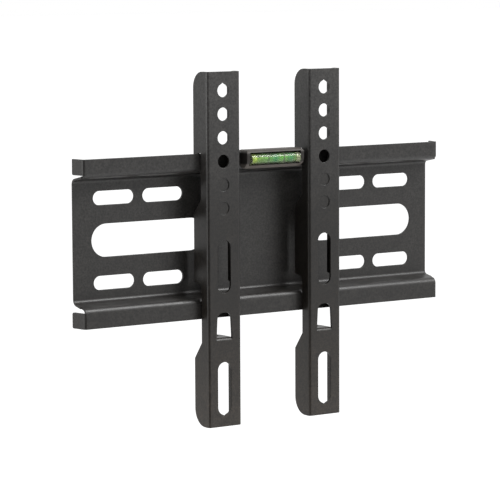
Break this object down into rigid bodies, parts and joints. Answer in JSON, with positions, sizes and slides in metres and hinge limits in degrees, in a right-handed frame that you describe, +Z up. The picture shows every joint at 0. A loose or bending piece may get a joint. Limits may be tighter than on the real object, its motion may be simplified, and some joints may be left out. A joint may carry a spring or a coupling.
{
  "type": "tv wall mount",
  "caption": "Low-profile wall mount: a folded wall plate with lipped rails, channel arms that hang on the upper rail and slide along it, and a bubble level.",
  "frame": {"origin": "middle of the wall plate's panel, on the wall", "axes": "+X along the rails, +Y into the wall, +Z up"},
  "size_m": [0.2886, 0.0236, 0.2348],
  "materials": {
    "black_paint": "satin, fine powder coat",
    "holder_plastic": "moulded, matt",
    "vial_clear": "clear, polished",
    "level_liquid": "clear yellow-green",
    "plug_white": "moulded"
  },
  "bodies": {
    "wall_unit": {"wall_plate": "black_paint", "level_holder": "holder_plastic", "level_vial": "vial_clear", "level_fluid": "level_liquid", "level_plug": "plug_white"},
    "left_arm_body": {"left_arm": "black_paint"},
    "right_arm_body": {"right_arm": "black_paint"}
  },
  "joints": [
    {"name": "left_arm_slide", "type": "slide", "parent": "wall_unit", "child": "left_arm_body", "axis": [1, 0, 0], "range_m": [-0.0866, 0.0053]},
    {"name": "right_arm_slide", "type": "slide", "parent": "wall_unit", "child": "right_arm_body", "axis": [1, 0, 0], "range_m": [-0.0033, 0.1115]}
  ]
}
